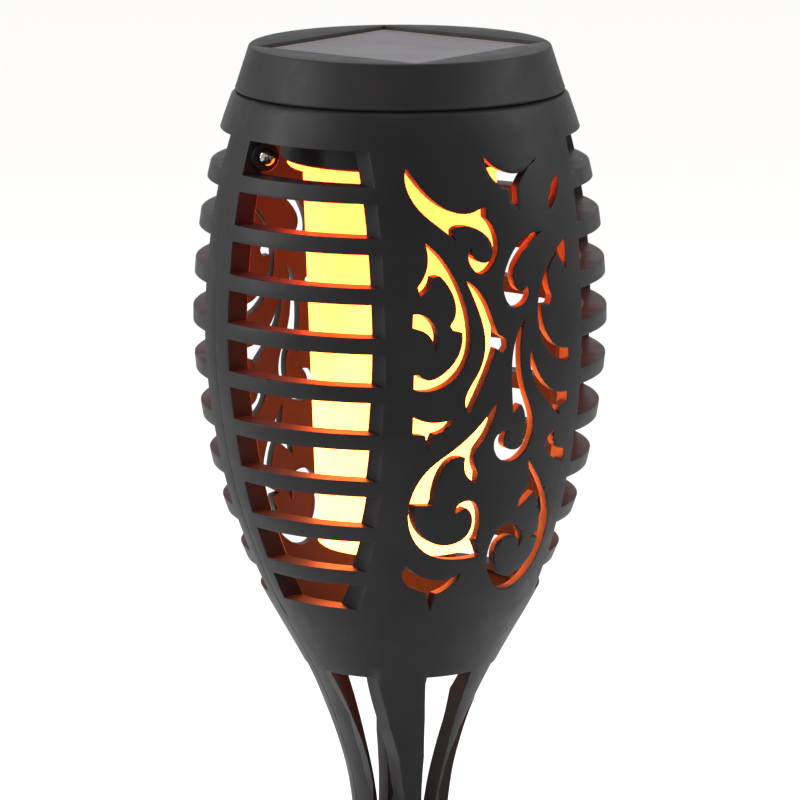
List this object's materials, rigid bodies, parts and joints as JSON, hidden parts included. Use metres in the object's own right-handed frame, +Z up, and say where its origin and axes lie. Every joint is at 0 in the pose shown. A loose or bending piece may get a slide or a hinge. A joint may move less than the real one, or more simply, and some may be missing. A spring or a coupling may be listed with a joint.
{
  "type": "solar garden torch",
  "caption": "Solar garden torch: louvred and scroll-cut bowl with a twist-lock lamp head and flame tube, on a plug-together pole with a ground spike.",
  "frame": {"origin": "on the torch's axis at ground level, at the underside of the ground spike's flange", "axes": "+Z up along the pole, front scroll panel towards -Y, parting plane of the two shells at Y = 0"},
  "size_m": [0.085, 0.085, 0.506],
  "materials": {
    "shell_plastic": "satin moulded ABS with a fine grain",
    "cap_plastic": "satin moulded ABS",
    "panel_face": "epoxy-faced solar tile, satin",
    "inner_plastic": "plain moulded ABS",
    "screw_steel": "nickel-plated pan-head screws",
    "seal_rubber": "silicone rubber",
    "cell_wrap": "shrink-wrapped cell",
    "contact_steel": "nickel-plated spring steel",
    "board_laminate": "solder-masked laminate",
    "chip_plastic": "moulded epoxy parts",
    "switch_plastic": "moulded nylon",
    "core_plastic": "white moulded post",
    "led_board_film": "white flexible board",
    "led_lens": "warm lit lamp lenses",
    "tube_plastic": "translucent lit tube, satin",
    "pole_plastic": "satin extruded ABS tube"
  },
  "bodies": {
    "spike": {"ground_spike": "pole_plastic"},
    "lower_pole": {"pole_lower": "pole_plastic", "pole_coupler": "pole_plastic"},
    "upper_pole": {"pole_upper": "pole_plastic"},
    "torch_body": {"front_shell": "shell_plastic", "rear_shell": "shell_plastic", "shell_screws": "screw_steel"},
    "seal": {"seal_ring": "seal_rubber"},
    "lamp_head": {"top_cap": "cap_plastic", "solar_panel": "panel_face", "lamp_housing": "inner_plastic", "housing_screws": "screw_steel", "battery_cell": "cell_wrap", "battery_cradle": "inner_plastic", "battery_contacts": "contact_steel", "control_board": "board_laminate", "board_parts": "chip_plastic", "switch_body": "switch_plastic", "lamp_core": "core_plastic", "lamp_board": "led_board_film", "lamp_leds": "led_lens", "flame_tube": "tube_plastic"},
    "switch_thumb": {"switch_slider": "switch_plastic"}
  },
  "joints": [
    {"name": "lower_pole_pull", "type": "slide", "parent": "spike", "child": "lower_pole", "axis": [0, 0, 1], "range_m": [0, 0.02]},
    {"name": "upper_pole_pull", "type": "slide", "parent": "lower_pole", "child": "upper_pole", "axis": [0, 0, 1], "range_m": [0, 0.02]},
    {"name": "head_swivel", "type": "hinge", "parent": "upper_pole", "child": "torch_body", "pos_m": [0, 0, 0.205], "axis": [0, 0, 1], "continuous": true},
    {"name": "lamp_lift", "type": "slide", "parent": "torch_body", "child": "seal", "axis": [0, 0, 1], "range_m": [0, 0.105]},
    {"name": "lamp_twist", "type": "hinge", "parent": "seal", "child": "lamp_head", "pos_m": [0, 0, 0.3817], "axis": [0, 0, 1], "range_deg": [0, 20]},
    {"name": "switch_slide", "type": "slide", "parent": "lamp_head", "child": "switch_thumb", "axis": [1, 0, 0], "range_m": [0, 0.002]}
  ]
}
